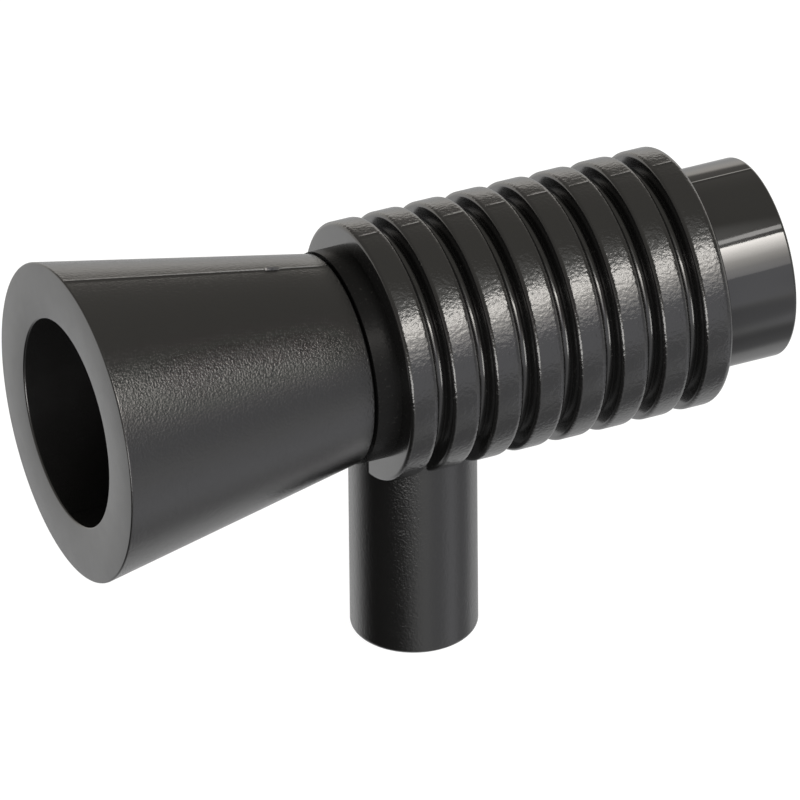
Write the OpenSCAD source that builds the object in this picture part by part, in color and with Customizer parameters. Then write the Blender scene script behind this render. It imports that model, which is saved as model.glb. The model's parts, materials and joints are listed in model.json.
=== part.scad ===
// Toy-figure loudhailer: a flared horn on a ribbed barrel, with a round handle bar
// under it and a plain round spigot at the rear.
// Millimetres, +Z up. The origin is the centre of the handle's flat foot, the barrel's
// axis lies along X above it, and the horn's mouth faces -X.

/* [Handle] */
// Diameter of the handle bar, which a toy figure's hand clips onto
handle_d = 3.18; // [2.4:0.02:4.2]
// Height of the barrel's axis above the handle's foot
axis_h = 8.16; // [6.5:0.01:12]
// Radius of the rounded edge around the handle's foot
handle_edge = 0.16; // [0.05:0.01:0.4]
// How far the handle's root, inside the ribs, steps in from the bar
root_step = 0.18; // [0.16:0.01:0.4]

/* [Horn] */
// Outer diameter of the horn at its mouth
mouth_d = 8.02; // [6.6:0.02:11]
// Height of the horn's root above the neck
horn_step = 0.43; // [0.08:0.01:0.8]
// Length of the horn from its mouth to the neck
horn_len = 7.06; // [5:0.01:12]
// Diameter of the straight bore in the mouth
bore_d = 5.2; // [3.6:0.02:6.3]
// Depth of the blind bore
bore_depth = 3.2; // [2:0.05:4.4]
// Radius of the rounded edges of the mouth's rim
rim_edge = 0.05; // [0.02:0.01:0.06]

/* [Neck and core] */
// How far the bare neck, between the horn and the first rib, steps in from the spigot
neck_step = 0.31; // [0.01:0.01:0.5]
// How far the core, inside the ribs, steps in from the neck
core_step = 0.22; // [0.16:0.01:0.6]
// Length of the bare neck
neck_len = 0.69; // [0.3:0.01:1.5]
// Radius of the fillet between the neck and the horn's root
neck_fillet = 0.06; // [0.02:0.01:0.07]
// Radius of the fillet between the neck and the first rib's face
face_fillet = 0.1; // [0.02:0.01:0.15]
// Distance from the handle's axis forward to the first rib's front face
rib_front = 1.46; // [1.1:0.01:3]

/* [Ribs] */
// Number of ribs around the barrel
rib_count = 8; // [3:1:12]
// Height of the ribs above the grooves between them
rib_h = 0.53; // [0.3:0.01:0.9]
// Height of the bottom of the grooves above the neck
groove_rise = 0.54; // [0.16:0.005:0.8]
// Width of a rib between its two walls
rib_w = 0.79; // [0.5:0.01:1.2]
// Width of the groove between two ribs
groove_w = 0.338; // [0.2:0.001:0.8]
// Radius of a rib's shoulder on the mouth side
shoulder_front = 0.11; // [0.04:0.01:0.2]
// Radius of a rib's shoulder on the spigot side
shoulder_rear = 0.2; // [0.04:0.01:0.25]
// Radius of the rounding at the bottom of a groove
groove_round = 0.16; // [0.02:0.01:0.2]

/* [Rear spigot] */
// Diameter of the spigot
spigot_d = 5.02; // [4:0.02:6.4]
// Length of the spigot behind the last rib
spigot_len = 2.05; // [1:0.01:5]
// Radius of the rounded edge of the spigot's end
spigot_edge = 0.08; // [0.02:0.01:0.3]

/* [Hidden] */

$fn = 96;
colour = "#2B2B2B";
past = 1; // how far a cutting shape runs past what it cuts

handle_r = handle_d / 2;
root_r = handle_r - root_step;
mouth_r = mouth_d / 2;
bore_r = bore_d / 2;
spigot_r = spigot_d / 2;
neck_r = spigot_r - neck_step;
core_r = neck_r - core_step;
horn_root_r = neck_r + horn_step;
groove_r = neck_r + groove_rise;
rib_r = groove_r + rib_h;
bar_top = axis_h - rib_r;

rib_pitch = rib_w + groove_w;
half_groove = groove_w / 2;
bottom_round = min(groove_round, half_groove);

// Stations along the barrel's axis
rib_start = -rib_front;
neck_front = rib_start - neck_len;
mouth = neck_front - horn_len;
rib_end = rib_start + (rib_count - 1) * rib_pitch + rib_w;
spigot_end = rib_end + spigot_len;

// The horn's cone: its half angle, and its outer radius at a station
cone_angle = atan((mouth_r - horn_root_r) / horn_len);
function cone_r(x) = mouth_r - (x - mouth) * tan(cone_angle);
// Radius of the centre of an edge rounding that is tangent to the cone
function edge_centre_r(x) = cone_r(x) - rim_edge / cos(cone_angle);

// Turns a profile drawn as [radius, station] into a solid about the barrel's axis.
module turned() {
    translate([0, 0, axis_h]) rotate([0, 90, 0]) rotate_extrude() children();
}

// Profile of a plain ring between two radii and two stations.
module ring(r_in, r_out, x0, x1) {
    translate([r_in, x0]) square([r_out - r_in, x1 - x0]);
}

// Profile of a ring whose two outer edges are rounded.
module rounded_ring(r_in, r_out, x0, x1, round0, round1) {
    ring(r_in, r_out, x0 + round0, x1 - round1);
    ring(r_in, r_out - round0, x0, x0 + round0);
    ring(r_in, r_out - round1, x1 - round1, x1);
    translate([r_out - round0, x0 + round0]) circle(round0);
    translate([r_out - round1, x1 - round1]) circle(round1);
}

// Profile of a rod from a plain end to a tip with a rounded edge, on either side.
module rounded_rod(r, base, tip, round) {
    shoulder = tip + sign(base - tip) * round;
    ring(0, r, min(base, shoulder), max(base, shoulder));
    ring(0, r - round, min(tip, shoulder), max(tip, shoulder));
    translate([r - round, shoulder]) circle(round);
}

// Profile of a fillet in the corner between radius r and a wall at station x. It lies
// on the side of the wall that side points to: -1 is the mouth side.
module fillet(r, x, round, side) {
    difference() {
        ring(r, r + round, min(x, x + side * round), max(x, x + side * round));
        translate([r + round, x + side * round]) circle(round);
    }
}

// The handle's root, which runs up through the ribs to the core.
module handle_root() {
    cylinder(r = root_r, h = axis_h);
}

// Profile of the core and the bare neck, with the fillets at both ends of the neck.
module core_profile() {
    ring(0, neck_r, neck_front, rib_start);
    ring(0, core_r, rib_start, rib_end);
    fillet(neck_r, neck_front, neck_fillet, 1);
    fillet(neck_r, rib_start, face_fillet, -1);
}

// Flared horn: a cone with a blind bore in its mouth, and fine rounded edges.
module horn() {
    rim = [edge_centre_r(mouth + rim_edge), mouth + rim_edge];
    back = [edge_centre_r(neck_front - rim_edge), neck_front - rim_edge];
    to_cone = rim_edge * [cos(cone_angle), sin(cone_angle)];
    to_end = [0, rim_edge];
    color(colour) turned() {
        difference() {
            polygon([
                [0, mouth], rim - to_end, rim, rim + to_cone,
                back + to_cone, back, back + to_end, [0, neck_front]
            ]);
            ring(0, bore_r, mouth - past, mouth + bore_depth);
            ring(0, bore_r + rim_edge, mouth - past, mouth + rim_edge);
        }
        translate(rim) circle(rim_edge);
        translate(back) circle(rim_edge);
        translate([bore_r + rim_edge, mouth + rim_edge]) circle(rim_edge);
    }
}

// Core inside the ribs, with the bare neck between the horn and the first rib.
module barrel_core() {
    color(colour) turned() core_profile();
}

// One rib with its share of the grooves beside it, around the core and the handle's root.
module rib(k) {
    front = rib_start + (k - 1) * rib_pitch;
    rear = front + rib_w;
    color(colour) difference() {
        turned() {
            rounded_ring(core_r, rib_r, front, rear, shoulder_front, shoulder_rear);
            if (k > 1) {
                ring(core_r, groove_r, front - half_groove, front);
                fillet(groove_r, front, bottom_round, -1);
            }
            if (k < rib_count) {
                ring(core_r, groove_r, rear, rear + half_groove);
                fillet(groove_r, rear, bottom_round, 1);
            }
        }
        handle_root();
    }
}

// Plain round spigot behind the last rib.
module rear_spigot() {
    color(colour) turned() rounded_rod(spigot_r, rib_end, spigot_end, spigot_edge);
}

// Round handle bar, plain from its foot to the ribs, with its root seated on the core.
module handle() {
    color(colour) difference() {
        union() {
            rotate_extrude() rounded_rod(handle_r, bar_top, 0, handle_edge);
            handle_root();
        }
        turned() core_profile();
    }
}

horn();
barrel_core();
for (k = [1 : rib_count])
    rib(k);
rear_spigot();
handle();
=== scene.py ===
"""Toy-figure loudhailer: the detailed pieces of the moulding, their plastic, and the stage."""

import json
import math

import bmesh
import bpy
from bpy.props import FloatProperty, FloatVectorProperty, IntProperty, PointerProperty
from mathutils import Matrix, Quaternion, Vector

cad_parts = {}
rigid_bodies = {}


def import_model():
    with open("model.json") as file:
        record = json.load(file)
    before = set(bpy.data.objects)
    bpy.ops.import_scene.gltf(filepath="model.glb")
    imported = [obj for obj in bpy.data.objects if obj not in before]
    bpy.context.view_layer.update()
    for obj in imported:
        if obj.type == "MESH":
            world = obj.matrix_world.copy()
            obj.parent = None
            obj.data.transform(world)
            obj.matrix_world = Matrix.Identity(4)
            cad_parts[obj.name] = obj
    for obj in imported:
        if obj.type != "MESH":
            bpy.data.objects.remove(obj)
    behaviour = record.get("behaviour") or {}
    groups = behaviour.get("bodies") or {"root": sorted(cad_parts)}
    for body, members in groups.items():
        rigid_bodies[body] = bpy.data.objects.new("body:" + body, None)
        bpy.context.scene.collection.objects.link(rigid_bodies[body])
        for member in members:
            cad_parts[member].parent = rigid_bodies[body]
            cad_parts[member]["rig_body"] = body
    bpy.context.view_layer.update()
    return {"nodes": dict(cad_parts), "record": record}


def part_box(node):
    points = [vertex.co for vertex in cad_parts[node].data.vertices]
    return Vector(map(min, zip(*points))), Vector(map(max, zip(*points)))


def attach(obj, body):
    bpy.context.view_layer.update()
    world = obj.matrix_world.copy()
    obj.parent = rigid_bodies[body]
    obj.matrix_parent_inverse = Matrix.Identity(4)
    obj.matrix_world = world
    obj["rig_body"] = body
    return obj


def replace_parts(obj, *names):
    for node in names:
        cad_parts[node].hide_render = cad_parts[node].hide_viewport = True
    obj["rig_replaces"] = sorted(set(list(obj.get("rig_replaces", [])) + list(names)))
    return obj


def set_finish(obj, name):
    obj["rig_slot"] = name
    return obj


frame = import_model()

bl_info = {
    "name": "Toy-figure loudhailer",
    "version": (1, 0, 0),
    "blender": (4, 5, 0),
    "location": "3D View > Sidebar > Loudhailer",
    "description": "Models a ribbed toy loudhailer in black ABS around its packed CAD frame",
    "category": "Object",
}

MM = 0.001
CLOSE = 0.002 * MM  # measures that differ by less count as the same
MERGE = 0.0005 * MM  # points that lie nearer than this become one
SMOOTH_UNDER = math.radians(35)  # edges that turn less than this are shaded smooth
CROWN_DEPTH = 0.03 * MM  # how far down a rib's shoulders the crown's texture reaches

RIBS = sorted(
    (name for name in frame["nodes"] if name.startswith("rib_")),
    key=lambda name: int(name.split("_")[1]),
)
MOUNT_SIZES = {mount["name"]: mount["dims"] for mount in frame["record"]["mounts"]}


def colour(hex_code):
    """The linear colour of an sRGB hex code such as "#141414"."""
    parts = [int(hex_code[i:i + 2], 16) / 255 for i in (1, 3, 5)]
    return [c / 12.92 if c <= 0.04045 else ((c + 0.055) / 1.055) ** 2.4 for c in parts]


# Places and sizes that the CAD frame fixes

def node_size(node, axis):
    """How long a CAD node is along one axis: 0 is X, 1 is Y and 2 is Z."""
    low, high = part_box(node)
    return high[axis] - low[axis]


AXIS_Z = sum(corner.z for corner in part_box("horn")) / 2
MOUTH_X, HORN_BACK_X = (corner.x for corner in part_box("horn"))
BORE_R = MOUNT_SIZES["mouth_bore"]["r_mm"] * MM
SPIGOT_R = MOUNT_SIZES["rear_spigot"]["r_mm"] * MM
SPIGOT_X, SPIGOT_END_X = (corner.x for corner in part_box("rear_spigot"))
HANDLE_R = MOUNT_SIZES["handle_bar"]["r_mm"] * MM
RIB_R = node_size(RIBS[0], 2) / 2
RIB_START_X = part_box(RIBS[0])[0].x
RIB_PITCH = node_size(RIBS[1], 0)
GROOVE_W = 2 * (RIB_PITCH - node_size(RIBS[0], 0))
RIB_W = RIB_PITCH - GROOVE_W


class LoudhailerSizes(bpy.types.PropertyGroup):
    """Sizes of the moulding's fine features, which the CAD frame leaves open."""

    bore_depth: FloatProperty(
        name="Bore depth", description="Depth of the blind bore in the mouth",
        default=3.2 * MM, unit="LENGTH")
    neck_step: FloatProperty(
        name="Neck step", description="How far the bare neck steps in from the spigot",
        default=0.31 * MM, unit="LENGTH")
    core_step: FloatProperty(
        name="Core step", description="How far the core inside the ribs steps in from the neck",
        default=0.22 * MM, unit="LENGTH")
    neck_fillet: FloatProperty(
        name="Neck fillet", description="Radius of the fillet between the neck and the horn",
        default=0.06 * MM, unit="LENGTH")
    face_fillet: FloatProperty(
        name="Face fillet",
        description="Radius of the fillet between the neck and the first rib",
        default=0.1 * MM, unit="LENGTH")
    horn_step: FloatProperty(
        name="Horn step", description="Height of the horn's root above the neck",
        default=0.43 * MM, unit="LENGTH")
    rim_edge: FloatProperty(
        name="Rim edge", description="Radius of the rounded edges of the mouth's rim",
        default=0.05 * MM, unit="LENGTH")
    bore_floor: FloatProperty(
        name="Bore floor", description="Radius of the rounding around the bore's floor",
        default=0.15 * MM, unit="LENGTH")
    rib_height: FloatProperty(
        name="Rib height", description="Height of the ribs above the grooves",
        default=0.53 * MM, unit="LENGTH")
    shoulder_front: FloatProperty(
        name="Front shoulder", description="Radius of a rib's shoulder on the mouth side",
        default=0.11 * MM, unit="LENGTH")
    shoulder_rear: FloatProperty(
        name="Rear shoulder", description="Radius of a rib's shoulder on the spigot side",
        default=0.2 * MM, unit="LENGTH")
    groove_round: FloatProperty(
        name="Groove rounding", description="Radius of the rounding at a groove's bottom",
        default=0.16 * MM, unit="LENGTH")
    spigot_edge: FloatProperty(
        name="Spigot edge", description="Radius of the rounded edge of the spigot's end",
        default=0.08 * MM, unit="LENGTH")
    foot_edge: FloatProperty(
        name="Foot edge", description="Radius of the rounded edge around the handle's foot",
        default=0.16 * MM, unit="LENGTH")
    seam_width: FloatProperty(
        name="Seam width", description="Width of the raised line where the mould halves met",
        default=0.05 * MM, unit="LENGTH")
    seam_height: FloatProperty(
        name="Seam height", description="Height of the raised line where the mould halves met",
        default=0.018 * MM, unit="LENGTH")
    flash_height: FloatProperty(
        name="Flash height",
        description="Height of the burr of flash on the seam along the horn's top",
        default=0.07 * MM, unit="LENGTH")
    flash_place: FloatProperty(
        name="Flash place",
        description="Distance of the burr's middle in front of the horn's back",
        default=1.55 * MM, unit="LENGTH")
    flash_length: FloatProperty(
        name="Flash length", description="Length of the burr of flash along the seam",
        default=0.48 * MM, unit="LENGTH")
    handle_sink: FloatProperty(
        name="Handle sink",
        description="How far the handle's top lies inside the ribs, past the spigot's radius",
        default=0.3 * MM, unit="LENGTH")
    sides: IntProperty(
        name="Sides", description="Number of flats around each round piece", default=192, min=24)


class LoudhailerColours(bpy.types.PropertyGroup):
    """Colours of the plastic and the stage."""

    plastic: FloatVectorProperty(
        name="Plastic", description="Colour of the black ABS",
        subtype="COLOR", default=colour("#131313"), min=0, max=1)
    dust: FloatVectorProperty(
        name="Dust", description="Colour of the specks of dust on the plastic",
        subtype="COLOR", default=colour("#8A8884"), min=0, max=1)
    floor: FloatVectorProperty(
        name="Floor", description="Colour of the floor",
        subtype="COLOR", default=colour("#F4F4F2"), min=0, max=1)


# Modelling helpers

def start_piece():
    """Leaves nothing selected, so that an operator acts only on what is added next."""
    bpy.ops.object.select_all(action="DESELECT")


def edit(piece):
    """Opens a piece in edit mode with nothing selected."""
    bpy.context.view_layer.objects.active = piece
    bpy.ops.object.mode_set(mode="EDIT")
    bpy.ops.mesh.select_mode(type="EDGE")
    bpy.ops.mesh.select_all(action="DESELECT")


def pick(piece, kind, test):
    """Selects the verts, edges or faces of the open piece for which test is true."""
    bpy.ops.mesh.select_mode(type={"verts": "VERT", "edges": "EDGE", "faces": "FACE"}[kind])
    bpy.ops.mesh.select_all(action="DESELECT")
    shape = bmesh.from_edit_mesh(piece.data)
    found = [part for part in getattr(shape, kind) if test(part)]
    if not found:
        raise RuntimeError(f"{piece.name}: nothing to select among its {kind}")
    for part in found:
        part.select_set(True)
    shape.select_flush_mode()
    bmesh.update_edit_mesh(piece.data)


def barrel_radius(point):
    """Distance of a point from the barrel's axis."""
    return math.hypot(point.y, point.z - AXIS_Z)


def is_near(value, wanted):
    """True if a measure is the wanted one, give or take a couple of microns."""
    return abs(value - wanted) < CLOSE


def is_ring(edge, x, radius):
    """True if an edge lies on the circle of that radius around the barrel at station x."""
    return all(is_near(v.co.x, x) and is_near(barrel_radius(v.co), radius) for v in edge.verts)


def raise_seam(piece, sizes, x_from, x_to, least_radius):
    """Raises the line left by the mould halves, along the top and bottom of a turned piece."""
    def is_on_seam(point):
        return (
            is_near(point.y, 0)
            and x_from - CLOSE <= point.x <= x_to + CLOSE
            and barrel_radius(point) > least_radius
        )

    pick(piece, "edges", lambda e: all(is_on_seam(v.co) for v in e.verts))
    bpy.ops.mesh.bevel(offset=sizes.seam_width / 2, segments=2, profile=0.5, affect="EDGES")
    shape = bmesh.from_edit_mesh(piece.data)
    for vert in shape.verts:
        if vert.select and is_near(vert.co.y, 0):
            vert.co.z += math.copysign(sizes.seam_height, vert.co.z - AXIS_Z)
    bmesh.update_edit_mesh(piece.data)


def finish_piece(piece, name, node, slot, materials, choose=None):
    """Cleans a piece's mesh, puts its place in the mesh, and stands it in for its CAD node.

    choose gives the number of a face's material from the face's centre and normal, where
    a piece has more than one material.
    """
    bpy.context.view_layer.objects.active = piece
    if piece.mode != "EDIT":
        bpy.ops.object.mode_set(mode="EDIT")
    bpy.ops.mesh.select_all(action="SELECT")
    bpy.ops.mesh.remove_doubles(threshold=MERGE)
    bpy.ops.mesh.normals_make_consistent(inside=False)
    bpy.ops.object.mode_set(mode="OBJECT")
    start_piece()
    piece.select_set(True)
    bpy.ops.object.transform_apply(location=True, rotation=True, scale=True)
    bpy.ops.object.shade_smooth_by_angle(angle=SMOOTH_UNDER)
    flats = piece.modifiers.new("flat_faces_stay_flat", "WEIGHTED_NORMAL")
    flats.keep_sharp = True
    bpy.ops.object.modifier_apply(modifier=flats.name)
    piece.name = name
    piece.data.name = name
    for material in materials:
        piece.data.materials.append(material)
    for face in piece.data.polygons:
        face.material_index = choose(face.center, face.normal) if choose else 0
    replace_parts(piece, node)
    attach(piece, "root")
    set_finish(piece, slot)


# Materials

def add_node(tree, kind, links=(), **settings):
    """Adds one node. Settings name its own fields or its inputs, and links feed its inputs.

    An underscore in the name of a setting stands for the space in the input's name.
    """
    node = tree.nodes.new(kind)
    for name, value in settings.items():
        if hasattr(node, name):
            setattr(node, name, value)
        else:
            node.inputs[name.replace("_", " ")].default_value = value
    for name, output in dict(links).items():
        tree.links.new(output, node.inputs[name])
    return node


def grain_scale(size_mm):
    """The noise scale whose grains are about that many millimetres across."""
    return 1 / (size_mm * MM)


def fill_ramp(node, stops):
    """Sets a colour ramp: each stop is a position and a linear colour, lowest first."""
    elements = node.color_ramp.elements
    elements[0].position, elements[1].position = stops[0][0], stops[-1][0]
    for position, _ in stops[1:-1]:
        elements.new(position)
    for element, (_, shade) in zip(elements, stops):
        element.color = (*shade, 1)


def new_material(name):
    """An empty node material, its tree, and its output node."""
    material = bpy.data.materials.new(name)
    material.use_nodes = True
    material.node_tree.nodes.clear()
    tree = material.node_tree
    return material, tree, add_node(tree, "ShaderNodeOutputMaterial")


# Nearly all of a noise lies between these two values
NOISE_LOW, NOISE_HIGH = 0.3, 0.7
# Sizes in mm of the shrinkage waves and of the worn patches
WAVE_MM = 0.9
PATCH_MM = 0.5
# Specks of dust in mm, coarser than real dust so that they show, and the values of the
# noise between which they fade in
SPECK_MM = 0.07
SPECK_FROM, SPECK_TO = 0.64, 0.74


def black_abs(name, grain_mm, grain_depth_mm, roughness, shine_spread=0.05, wave_depth_mm=0.0,
              dust_share=0.0, gloss=0.5):
    """Black ABS from a mould: nearly no colour of its own, so the look is in its gloss.

    A fine grain copies the mould's surface, a slow wave is the shrinkage of the plastic
    as it cooled, and cloudy patches of roughness, shine_spread apart, are where the mould
    is worn. dust_share is how much the sparse specks of dust lighten the black. gloss is
    lowered only on the neck, where the dull black is painted shade for its deep corner.
    """
    colours = bpy.context.scene.loudhailer_colours
    black = (*colours.plastic, 1)
    material, tree, output = new_material(name)
    place = add_node(tree, "ShaderNodeTexCoord").outputs["Object"]
    grain = add_node(tree, "ShaderNodeTexNoise", {"Vector": place},
                     Scale=grain_scale(grain_mm), Detail=3.0, Roughness=0.55)
    wave = add_node(tree, "ShaderNodeTexNoise", {"Vector": place},
                    Scale=grain_scale(WAVE_MM), Detail=1.0)
    patches = add_node(tree, "ShaderNodeTexNoise", {"Vector": place},
                       Scale=grain_scale(PATCH_MM), Detail=3.0)
    shine = add_node(tree, "ShaderNodeMapRange", {"Value": patches.outputs["Fac"]},
                     From_Min=NOISE_LOW, From_Max=NOISE_HIGH,
                     To_Min=roughness, To_Max=roughness + shine_spread)
    slow = add_node(tree, "ShaderNodeBump", {"Height": wave.outputs["Fac"]},
                    Strength=1.0, Distance=wave_depth_mm * MM)
    fine = add_node(tree, "ShaderNodeBump",
                    {"Height": grain.outputs["Fac"], "Normal": slow.outputs["Normal"]},
                    Strength=1.0, Distance=grain_depth_mm * MM)
    plastic = add_node(tree, "ShaderNodeBsdfPrincipled",
                       {"Roughness": shine.outputs["Result"], "Normal": fine.outputs["Normal"]},
                       Base_Color=black, IOR=1.54, Specular_IOR_Level=gloss)
    if dust_share:
        specks = add_node(tree, "ShaderNodeTexNoise", {"Vector": place},
                          Scale=grain_scale(SPECK_MM), Detail=2.0)
        amount = add_node(tree, "ShaderNodeMapRange", {"Value": specks.outputs["Fac"]},
                          From_Min=SPECK_FROM, From_Max=SPECK_TO, To_Max=dust_share)
        mixed = add_node(tree, "ShaderNodeMixRGB", {"Fac": amount.outputs["Result"]},
                         Color1=black, Color2=(*colours.dust, 1))
        tree.links.new(mixed.outputs["Color"], plastic.inputs["Base Color"])
    tree.links.new(plastic.outputs["BSDF"], output.inputs["Surface"])
    return material


# The finishes of the moulding, each named for how its part of the mould was made

def horn_skin():
    """Spark-eroded steel: its fine pits break the soft light on the cone into a grain."""
    return black_abs("black_abs_spark_textured_horn",
                     grain_mm=0.055, grain_depth_mm=0.01, roughness=0.07)


def horn_rim():
    """Plain turned steel: an even satin grey all round the mouth, with no sparkle."""
    return black_abs("black_abs_satin_moulded_rim",
                     grain_mm=0.12, grain_depth_mm=0.0005, roughness=0.22)


def horn_bore():
    """The skin left by a smooth core pin: nearly black, with a dull gleam at the lip."""
    return black_abs("black_abs_smooth_moulded_bore",
                     grain_mm=0.3, grain_depth_mm=0.0008, roughness=0.2)


def neck_skin():
    """A flat, dull black with a little dust in it: its gloss, cut nearly to nothing, is painted
    shade for the deep corner.
    """
    # Painted shade: the gloss cut to 0.03 makes the neck as dark as the shade in its deep corner
    # would.
    return black_abs("black_abs_rough_moulded_neck",
                     grain_mm=0.07, grain_depth_mm=0.006, roughness=0.25,
                     dust_share=0.04, gloss=0.03)


def rib_crowns():
    """Fine-textured steel: it breaks the band of light on each crown into crisp flecks.

    The grain is drawn coarser than the real one, which is too fine to show.
    """
    return black_abs("black_abs_fine_textured_crowns",
                     grain_mm=0.1, grain_depth_mm=0.013, roughness=0.05)


def groove_walls():
    """Smooth walls cut by a tool: narrow clean glints in deep black, and a trace of dust."""
    return black_abs("black_abs_smooth_groove_walls",
                     grain_mm=0.2, grain_depth_mm=0.001, roughness=0.14, dust_share=0.08)


def spigot_skin():
    """Polished steel: mirror bands of light along the stub, bent a little by the shrinkage."""
    return black_abs("black_abs_polished_spigot",
                     grain_mm=0.3, grain_depth_mm=0.0006, roughness=0.05,
                     shine_spread=0.03, wave_depth_mm=0.002)


def handle_skin():
    """Spark-eroded steel, worn smoother than the horn's: soft grey bands with blurred edges."""
    return black_abs("black_abs_spark_textured_handle",
                     grain_mm=0.06, grain_depth_mm=0.009, roughness=0.12)


# Pieces

# The horn's materials by number
HORN_SKIN, HORN_RIM, HORN_BORE = range(3)


class LOUDHAILER_OT_horn(bpy.types.Operator):
    """Model the flared horn with its flat rim and blind bore"""

    bl_idname = "loudhailer.horn"
    bl_label = "Horn"

    def execute(self, context):
        sizes = context.scene.loudhailer_sizes
        root_r = SPIGOT_R - sizes.neck_step + sizes.horn_step
        length = HORN_BACK_X - MOUTH_X
        box_r = node_size("horn", 2) / 2
        slope = (box_r - root_r) / length
        mouth_r = box_r + sizes.rim_edge * (slope + math.hypot(1, slope) - 1)
        start_piece()
        bpy.ops.mesh.primitive_cone_add(
            vertices=sizes.sides, radius1=mouth_r, radius2=root_r, depth=length,
            end_fill_type="NGON", location=((MOUTH_X + HORN_BACK_X) / 2, 0, AXIS_Z),
            rotation=(0, math.pi / 2, 0))
        horn = context.object
        bpy.ops.object.transform_apply(location=True, rotation=True, scale=True)
        edit(horn)
        pick(horn, "faces", lambda f: f.normal.x < -0.99)
        bpy.ops.mesh.inset(thickness=mouth_r - BORE_R)
        bpy.ops.mesh.extrude_region_move(
            TRANSFORM_OT_translate={"value": (sizes.bore_depth, 0, 0)})
        floor_x = MOUTH_X + sizes.bore_depth
        pick(horn, "edges", lambda e: is_ring(e, floor_x, BORE_R))
        bpy.ops.mesh.bevel(offset=sizes.bore_floor, segments=6, affect="EDGES")
        pick(horn, "edges", lambda e: is_ring(e, MOUTH_X, mouth_r)
             or is_ring(e, MOUTH_X, BORE_R) or is_ring(e, HORN_BACK_X, root_r))
        bpy.ops.mesh.bevel(offset=sizes.rim_edge, segments=5, affect="EDGES")
        # Five cuts across the seam make the burr: the outer two stay down, the others rise
        flash_x = HORN_BACK_X - sizes.flash_place
        for share in (-0.5, -0.25, 0, 0.25, 0.5):
            bpy.ops.mesh.select_all(action="SELECT")
            bpy.ops.mesh.bisect(
                plane_co=(flash_x + share * sizes.flash_length, 0, 0), plane_no=(1, 0, 0))
        # On a slanting wall the rim's rounding ends a little before its radius
        rounding_end_x = MOUTH_X + 0.9 * sizes.rim_edge
        raise_seam(horn, sizes, rounding_end_x, HORN_BACK_X - sizes.rim_edge,
                   root_r - sizes.rim_edge)
        pick(horn, "verts", lambda v: is_near(v.co.y, 0) and v.co.z > AXIS_Z + root_r
             and abs(v.co.x - flash_x) < 0.3 * sizes.flash_length)
        bpy.ops.transform.translate(value=(0, 0, sizes.flash_height - sizes.seam_height))

        def face_finish(centre, normal):
            if barrel_radius(centre) < BORE_R + sizes.rim_edge and centre.x < floor_x + CLOSE:
                return HORN_BORE
            return HORN_RIM if normal.x < -0.5 else HORN_SKIN

        finish_piece(horn, "horn_shell", "horn", "horn",
                     [horn_skin(), horn_rim(), horn_bore()], face_finish)
        return {"FINISHED"}


class LOUDHAILER_OT_neck(bpy.types.Operator):
    """Model the bare neck and the core behind it"""

    bl_idname = "loudhailer.neck"
    bl_label = "Neck and core"

    def execute(self, context):
        sizes = context.scene.loudhailer_sizes
        neck_r = SPIGOT_R - sizes.neck_step
        x_from = HORN_BACK_X + sizes.neck_fillet
        x_to = RIB_START_X - sizes.face_fillet
        start_piece()
        bpy.ops.mesh.primitive_cylinder_add(
            vertices=sizes.sides, radius=neck_r, depth=x_to - x_from, end_fill_type="NGON",
            location=((x_from + x_to) / 2, 0, AXIS_Z), rotation=(0, math.pi / 2, 0))
        neck = context.object
        bpy.ops.object.transform_apply(location=True, rotation=True, scale=True)
        edit(neck)
        self.flare_end(neck, neck_r, -1, sizes.neck_fillet)
        self.flare_end(neck, neck_r, 1, sizes.face_fillet)
        bpy.ops.mesh.inset(thickness=sizes.face_fillet + sizes.core_step)
        bpy.ops.mesh.extrude_region_move(
            TRANSFORM_OT_translate={"value": (SPIGOT_X - RIB_START_X, 0, 0)})
        finish_piece(neck, "neck_and_core", "barrel_core", "barrel", [neck_skin()])
        return {"FINISHED"}

    def flare_end(self, neck, radius, side, fillet, steps=6):
        """Draws one end of the neck outwards in a fillet, and leaves its face selected.

        side is -1 for the end at the horn and 1 for the end at the ribs.
        """
        pick(neck, "faces", lambda f: f.normal.x * side > 0.99)
        for step in range(steps):
            before, after = (math.radians(90 * (step + k) / steps) for k in (0, 1))
            advance = side * fillet * (math.sin(after) - math.sin(before))
            grown = (radius + fillet * (1 - math.cos(after))) / (
                radius + fillet * (1 - math.cos(before)))
            bpy.ops.mesh.extrude_region_move(TRANSFORM_OT_translate={"value": (advance, 0, 0)})
            bpy.ops.transform.resize(
                value=(1, grown, grown), center_override=(0, 0, AXIS_Z))


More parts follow.
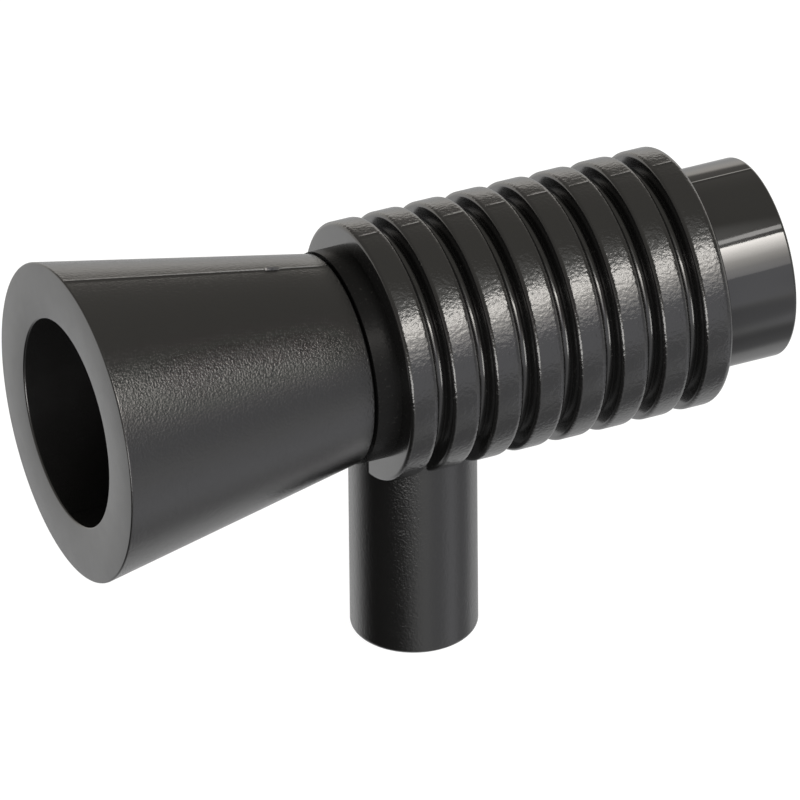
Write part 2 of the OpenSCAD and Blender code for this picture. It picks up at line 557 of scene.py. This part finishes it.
def rib_outline(sizes, front, has_front_groove, has_rear_groove):
    """One rib's outline as a flat sheet above the barrel's axis, its corners rounded."""
    half = GROOVE_W / 2
    rear = front + RIB_W
    x_from = front - half if has_front_groove else front
    x_to = rear + half if has_rear_groove else rear
    groove_r = RIB_R - sizes.rib_height
    core_r = SPIGOT_R - sizes.neck_step - sizes.core_step
    start_piece()
    bpy.ops.mesh.primitive_plane_add(
        size=1, location=((x_from + x_to) / 2, 0, AXIS_Z + (core_r + groove_r) / 2),
        rotation=(math.pi / 2, 0, 0))
    rib = bpy.context.object
    rib.scale = (x_to - x_from, groove_r - core_r, 1)
    bpy.ops.object.transform_apply(location=True, rotation=True, scale=True)
    edit(rib)
    for x, is_wall in ((front, has_front_groove), (rear, has_rear_groove)):
        if is_wall:
            bpy.ops.mesh.select_all(action="SELECT")
            bpy.ops.mesh.bisect(plane_co=(x, 0, 0), plane_no=(1, 0, 0))
    top = AXIS_Z + groove_r
    pick(rib, "edges", lambda e: all(
        is_near(v.co.z, top) and front - CLOSE <= v.co.x <= rear + CLOSE
        for v in e.verts))
    bpy.ops.mesh.extrude_region_move(
        TRANSFORM_OT_translate={"value": (0, 0, sizes.rib_height)})
    crown = AXIS_Z + RIB_R
    corners = [
        (front, crown, sizes.shoulder_front), (rear, crown, sizes.shoulder_rear)]
    if has_front_groove:
        corners.append((front, top, min(sizes.groove_round, half)))
    if has_rear_groove:
        corners.append((rear, top, min(sizes.groove_round, half)))
    for x, z, radius in corners:
        pick(rib, "verts", lambda v: is_near(v.co.x, x) and is_near(v.co.z, z))
        bpy.ops.mesh.bevel(offset=radius, segments=8, affect="VERTICES")
    return rib


def rib_ring(sizes, front, has_front_groove, has_rear_groove):
    """One rib as a closed ring around the barrel."""
    rib = rib_outline(sizes, front, has_front_groove, has_rear_groove)
    bpy.ops.mesh.select_mode(type="FACE")
    bpy.ops.mesh.select_all(action="SELECT")
    bpy.ops.mesh.dissolve_faces()
    bpy.ops.mesh.select_all(action="SELECT")
    bpy.ops.mesh.delete(type="ONLY_FACE")
    bpy.ops.mesh.select_mode(type="EDGE")
    bpy.ops.mesh.select_all(action="SELECT")
    bpy.ops.mesh.spin(
        steps=sizes.sides, angle=2 * math.pi, center=(0, 0, AXIS_Z), axis=(1, 0, 0),
        use_auto_merge=True, dupli=False)
    bpy.ops.mesh.select_all(action="SELECT")
    bpy.ops.mesh.remove_doubles(threshold=MERGE)
    raise_seam(rib, sizes, front + sizes.shoulder_front,
               front + RIB_W - sizes.shoulder_rear, RIB_R - CLOSE)
    bpy.ops.object.mode_set(mode="OBJECT")
    return rib


def copy_ring(ring, advance):
    """A copy of a finished rib with a mesh of its own, moved that far along the barrel."""
    rib = ring.copy()
    rib.data = ring.data.copy()
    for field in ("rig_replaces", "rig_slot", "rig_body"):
        if field in rib:
            del rib[field]
    rib.parent = None
    rib.data.materials.clear()
    rib.data.transform(Matrix.Translation((advance, 0, 0)))
    bpy.context.scene.collection.objects.link(rib)
    return rib


class LOUDHAILER_OT_ribs(bpy.types.Operator):
    """Model the ribs with the grooves between them"""

    bl_idname = "loudhailer.ribs"
    bl_label = "Ribs"

    def execute(self, context):
        sizes = context.scene.loudhailer_sizes
        finishes = [rib_crowns(), groove_walls()]
        first, second, last = 0, 1, len(RIBS) - 1
        for k, node in enumerate(RIBS):
            if k in (first, second, last):
                rib = rib_ring(sizes, RIB_START_X + k * RIB_PITCH, k != first, k != last)
            else:
                rib = copy_ring(pattern, (k - second) * RIB_PITCH)
            if k == second:
                pattern = rib
            finish_piece(rib, f"rib_ring_{k + 1}", node, "ribs", finishes,
                         lambda centre, _: barrel_radius(centre) < RIB_R - CROWN_DEPTH)
        return {"FINISHED"}


class LOUDHAILER_OT_spigot(bpy.types.Operator):
    """Model the plain polished spigot behind the last rib"""

    bl_idname = "loudhailer.spigot"
    bl_label = "Rear spigot"

    def execute(self, context):
        sizes = context.scene.loudhailer_sizes
        start_piece()
        bpy.ops.mesh.primitive_cylinder_add(
            vertices=sizes.sides, radius=SPIGOT_R, depth=SPIGOT_END_X - SPIGOT_X,
            end_fill_type="NGON", location=((SPIGOT_X + SPIGOT_END_X) / 2, 0, AXIS_Z),
            rotation=(0, math.pi / 2, 0))
        spigot = context.object
        bpy.ops.object.transform_apply(location=True, rotation=True, scale=True)
        edit(spigot)
        pick(spigot, "edges", lambda e: is_ring(e, SPIGOT_END_X, SPIGOT_R))
        bpy.ops.mesh.bevel(offset=sizes.spigot_edge, segments=6, affect="EDGES")
        raise_seam(spigot, sizes, SPIGOT_X, SPIGOT_END_X - sizes.spigot_edge, SPIGOT_R - CLOSE)
        finish_piece(spigot, "rear_spigot_stub", "rear_spigot", "spigot", [spigot_skin()])
        return {"FINISHED"}


class LOUDHAILER_OT_handle(bpy.types.Operator):
    """Model the round handle bar with its rounded foot"""

    bl_idname = "loudhailer.handle"
    bl_label = "Handle"

    def execute(self, context):
        sizes = context.scene.loudhailer_sizes
        top = AXIS_Z - SPIGOT_R + sizes.handle_sink
        start_piece()
        bpy.ops.mesh.primitive_cylinder_add(
            vertices=sizes.sides, radius=HANDLE_R, depth=top, end_fill_type="NGON",
            location=(0, 0, top / 2))
        handle = context.object
        bpy.ops.object.transform_apply(location=True, rotation=True, scale=True)
        edit(handle)
        pick(handle, "edges", lambda e: all(is_near(v.co.z, 0) for v in e.verts))
        bpy.ops.mesh.bevel(offset=sizes.foot_edge, segments=8, affect="EDGES")
        finish_piece(handle, "handle_bar", "handle", "handle", [handle_skin()])
        return {"FINISHED"}


# Stage

# Floor: its size, how much of its colour answers the lights, and its own even glow
FLOOR_SIZE = 4
FLOOR_SHARE = 0.15
FLOOR_GLOW = 0.97

# Camera: the direction it looks from and its roll in degrees, its distance from the
# barrel above the handle, and how far that point lies from the middle of the view
VIEW_TURN, VIEW_RISE, VIEW_ROLL = -24.183, 31.304, -0.569
VIEW_DISTANCE = 363 * MM
VIEW_RIGHT, VIEW_UP = 0.28 * MM, 1.489 * MM
SENSOR_MM, LENS_MM = 36, 667.5

# Lights: how far they stand from the barrel, and how the key light fades down its height
LIGHT_DISTANCE = 0.4
KEY_FADE = ((0.0, 0.06), (0.25, 0.12), (0.5, 0.28), (0.75, 0.6), (1.0, 1.0))


def direction(turn, rise):
    """The unit vector turned that many degrees from -Y towards +X, and that far up."""
    turn, rise = math.radians(turn), math.radians(rise)
    return Vector((math.sin(turn) * math.cos(rise), -math.cos(turn) * math.cos(rise),
                   math.sin(rise)))


def aim(thing, place, target):
    """Puts a light or a camera somewhere and points it at a target."""
    thing.rotation_mode = "QUATERNION"
    thing.rotation_quaternion = (target - place).to_track_quat("-Z", "Y")
    thing.location = place


def add_softbox(name, turn, rise, width, height, radiance, tint, fade=None):
    """A soft rectangular light aimed at the barrel, which gives out the radiance wanted.

    fade is a list of places up the light, from 0 to 1, and how bright it is there.
    """
    lamp = bpy.data.lights.new(name, "AREA")
    lamp.shape = "RECTANGLE"
    lamp.size, lamp.size_y = width, height
    lamp.energy = radiance * math.pi * width * height
    lamp.color = tint
    if fade:
        lamp.use_nodes = True
        tree = lamp.node_tree
        across = add_node(tree, "ShaderNodeNewGeometry").outputs["Parametric"]
        split = add_node(tree, "ShaderNodeSeparateXYZ", {"Vector": across})
        curve = add_node(tree, "ShaderNodeValToRGB", {"Fac": split.outputs["Y"]})
        fill_ramp(curve, [(place, (level, level, level)) for place, level in fade])
        tree.links.new(curve.outputs["Color"], tree.nodes["Emission"].inputs["Strength"])
    light = bpy.data.objects.new(name, lamp)
    bpy.context.scene.collection.objects.link(light)
    middle = Vector((0, 0, AXIS_Z))
    aim(light, middle + direction(turn, rise) * LIGHT_DISTANCE, middle)
    light.visible_camera = False


# Light from the surround at heights above the horizon: rise in degrees, linear colour
WALLS = (
    (-90, (0.75, 0.75, 0.75)),
    (-35, (1.02, 1.02, 1.02)),
    (-10, (1.3, 1.28, 1.24)),
    (11, (1.45, 1.38, 1.28)),
    (16, (0.42, 0.4, 0.37)),
    (50, (0.46, 0.44, 0.4)),
    (90, (0.55, 0.53, 0.48)),
)

# Round soft patches of the surround: turn, rise, inner and outer radius in degrees, level
SURROUND = (
    (15, 2, 16, 30, (1.33, 1.33, 1.4)),
    (28, 57, 3, 20, (1.3, 1.28, 1.22)),
    (52, -2, 6, 26, (0.7, 0.7, 0.73)),
    (50, -36, 5, 18, (1.15, 1.15, 1.2)),
    (22, -33, 7, 18, (0.75, 0.75, 0.78)),
    (80, -31, 6, 24, (0.5, 0.5, 0.52)),
    (58, -65, 6, 20, (0.42, 0.42, 0.43)),
    (150, -31, 12, 42, (0.55, 0.55, 0.55)),
    # Painted shade: this black patch low on the mouth side stands in for the floor shaded under
    # the horn, as the gloss sees it.
    (-80, -38, 18, 57, (0.0, 0.0, 0.0)),
)


def add_patch(tree, sight, under, centre, inner, outer, level):
    """Lays a round soft patch of light or dark over the surround, and returns the result."""
    towards = add_node(tree, "ShaderNodeVectorMath", {"Vector": sight}, operation="DOT_PRODUCT")
    towards.inputs[1].default_value = centre
    share = add_node(tree, "ShaderNodeMapRange", {"Value": towards.outputs["Value"]},
                     interpolation_type="SMOOTHSTEP",
                     From_Min=math.cos(math.radians(outer)),
                     From_Max=math.cos(math.radians(inner)))
    laid = add_node(tree, "ShaderNodeMixRGB", {"Fac": share.outputs["Result"], "Color1": under},
                    Color2=(*level, 1))
    return laid.outputs["Color"]


class LOUDHAILER_OT_stage(bpy.types.Operator):
    """Set up the floor, the studio light and the camera"""

    bl_idname = "loudhailer.stage"
    bl_label = "Stage"

    def execute(self, context):
        self.add_floor(context)
        self.add_surround(context)
        add_softbox("key_softbox", turn=22, rise=29.3, width=0.25, height=0.235,
                    radiance=19, tint=(1, 0.96, 0.91), fade=KEY_FADE)
        add_softbox("top_strip", turn=28, rise=50.5, width=0.24, height=0.028,
                    radiance=5, tint=(1, 0.98, 0.95))
        add_softbox("left_softbox", turn=-36, rise=-8, width=0.28, height=0.17,
                    radiance=7, tint=(1, 0.98, 0.96))
        self.add_camera(context)
        context.scene.view_settings.view_transform = "Standard"
        return {"FINISHED"}

    def add_floor(self, context):
        """Pale paper, evenly lit from edge to edge: white from above, clear from below."""
        start_piece()
        bpy.ops.mesh.primitive_plane_add(size=FLOOR_SIZE)
        floor = context.object
        floor.name = "studio_floor"
        material, tree, output = new_material("pale_paper_floor")
        paper_colour = [c * FLOOR_SHARE for c in context.scene.loudhailer_colours.floor]
        paper = add_node(tree, "ShaderNodeBsdfDiffuse", Color=(*paper_colour, 1))
        glow = add_node(tree, "ShaderNodeEmission", Strength=FLOOR_GLOW)
        both = add_node(tree, "ShaderNodeAddShader")
        tree.links.new(paper.outputs[0], both.inputs[0])
        tree.links.new(glow.outputs[0], both.inputs[1])
        clear = add_node(tree, "ShaderNodeBsdfTransparent")
        side = add_node(tree, "ShaderNodeNewGeometry").outputs["Backfacing"]
        mix = add_node(tree, "ShaderNodeMixShader", {"Fac": side})
        tree.links.new(both.outputs[0], mix.inputs[1])
        tree.links.new(clear.outputs[0], mix.inputs[2])
        tree.links.new(mix.outputs[0], output.inputs["Surface"])
        floor.data.materials.append(material)
        # The gloss mirrors the surround and not the floor, which also casts nothing back
        floor.visible_glossy = False
        floor.visible_diffuse = False
        floor.visible_shadow = False

    def add_surround(self, context):
        """What the gloss mirrors, with a plain white backdrop wherever the camera looks."""
        world = bpy.data.worlds.new("studio_surround")
        context.scene.world = world
        world.use_nodes = True
        tree = world.node_tree
        tree.nodes.clear()
        sight = add_node(tree, "ShaderNodeTexCoord").outputs["Generated"]
        height = add_node(tree, "ShaderNodeSeparateXYZ", {"Vector": sight}).outputs["Z"]
        share = add_node(tree, "ShaderNodeMapRange", {"Value": height}, From_Min=-1.0)
        walls = add_node(tree, "ShaderNodeValToRGB", {"Fac": share.outputs["Result"]})
        fill_ramp(walls, [
            ((math.sin(math.radians(rise)) + 1) / 2, shade) for rise, shade in WALLS])
        seen = walls.outputs["Color"]
        for turn, rise, inner, outer, level in SURROUND:
            seen = add_patch(tree, sight, seen, direction(turn, rise), inner, outer, level)
        surround = add_node(tree, "ShaderNodeBackground", {"Color": seen})
        backdrop = add_node(tree, "ShaderNodeBackground", Color=(1, 1, 1, 1))
        camera_ray = add_node(tree, "ShaderNodeLightPath").outputs["Is Camera Ray"]
        mix = add_node(tree, "ShaderNodeMixShader", {"Fac": camera_ray})
        tree.links.new(surround.outputs[0], mix.inputs[1])
        tree.links.new(backdrop.outputs[0], mix.inputs[2])
        output = add_node(tree, "ShaderNodeOutputWorld")
        tree.links.new(mix.outputs[0], output.inputs["Surface"])

    def add_camera(self, context):
        """A long lens, so that the barrel hardly narrows with distance."""
        barrel_over_handle = Vector((0, 0, AXIS_Z))
        back = direction(VIEW_TURN, VIEW_RISE)
        roll = math.radians(VIEW_ROLL)
        right = Vector((-back.y, back.x, 0)).normalized()
        up = back.cross(right)
        tilt = Matrix.Rotation(roll, 3, back)
        right, up = tilt @ right, tilt @ up
        target = barrel_over_handle - right * VIEW_RIGHT - up * VIEW_UP
        lens = bpy.data.cameras.new("studio_camera")
        lens.sensor_width = SENSOR_MM
        lens.lens = LENS_MM
        lens.clip_start, lens.clip_end = 0.01, 10
        camera = bpy.data.objects.new("studio_camera", lens)
        context.scene.collection.objects.link(camera)
        aim(camera, barrel_over_handle + back * VIEW_DISTANCE, target)
        camera.rotation_quaternion = camera.rotation_quaternion @ Quaternion((0, 0, 1), roll)
        context.scene.camera = camera


class LOUDHAILER_PT_panel(bpy.types.Panel):
    """Buttons for the loudhailer's pieces"""

    bl_idname = "LOUDHAILER_PT_panel"
    bl_label = "Loudhailer"
    bl_space_type = "VIEW_3D"
    bl_region_type = "UI"
    bl_category = "Loudhailer"

    def draw(self, context):
        for step in STEPS:
            self.layout.operator(step.bl_idname)
        for group in (context.scene.loudhailer_sizes, context.scene.loudhailer_colours):
            for name in group.__annotations__:
                self.layout.prop(group, name)


STEPS = (
    LOUDHAILER_OT_horn,
    LOUDHAILER_OT_neck,
    LOUDHAILER_OT_ribs,
    LOUDHAILER_OT_spigot,
    LOUDHAILER_OT_handle,
    LOUDHAILER_OT_stage,
)
CLASSES = (LoudhailerSizes, LoudhailerColours, *STEPS, LOUDHAILER_PT_panel)


def register():
    for cls in CLASSES:
        bpy.utils.register_class(cls)
    bpy.types.Scene.loudhailer_sizes = PointerProperty(type=LoudhailerSizes)
    bpy.types.Scene.loudhailer_colours = PointerProperty(type=LoudhailerColours)


def unregister():
    del bpy.types.Scene.loudhailer_colours
    del bpy.types.Scene.loudhailer_sizes
    for cls in reversed(CLASSES):
        bpy.utils.unregister_class(cls)


def main():
    register()
    bpy.ops.loudhailer.horn()
    bpy.ops.loudhailer.neck()
    bpy.ops.loudhailer.ribs()
    bpy.ops.loudhailer.spigot()
    bpy.ops.loudhailer.handle()
    bpy.ops.loudhailer.stage()


if __name__ == "__main__":
    main()
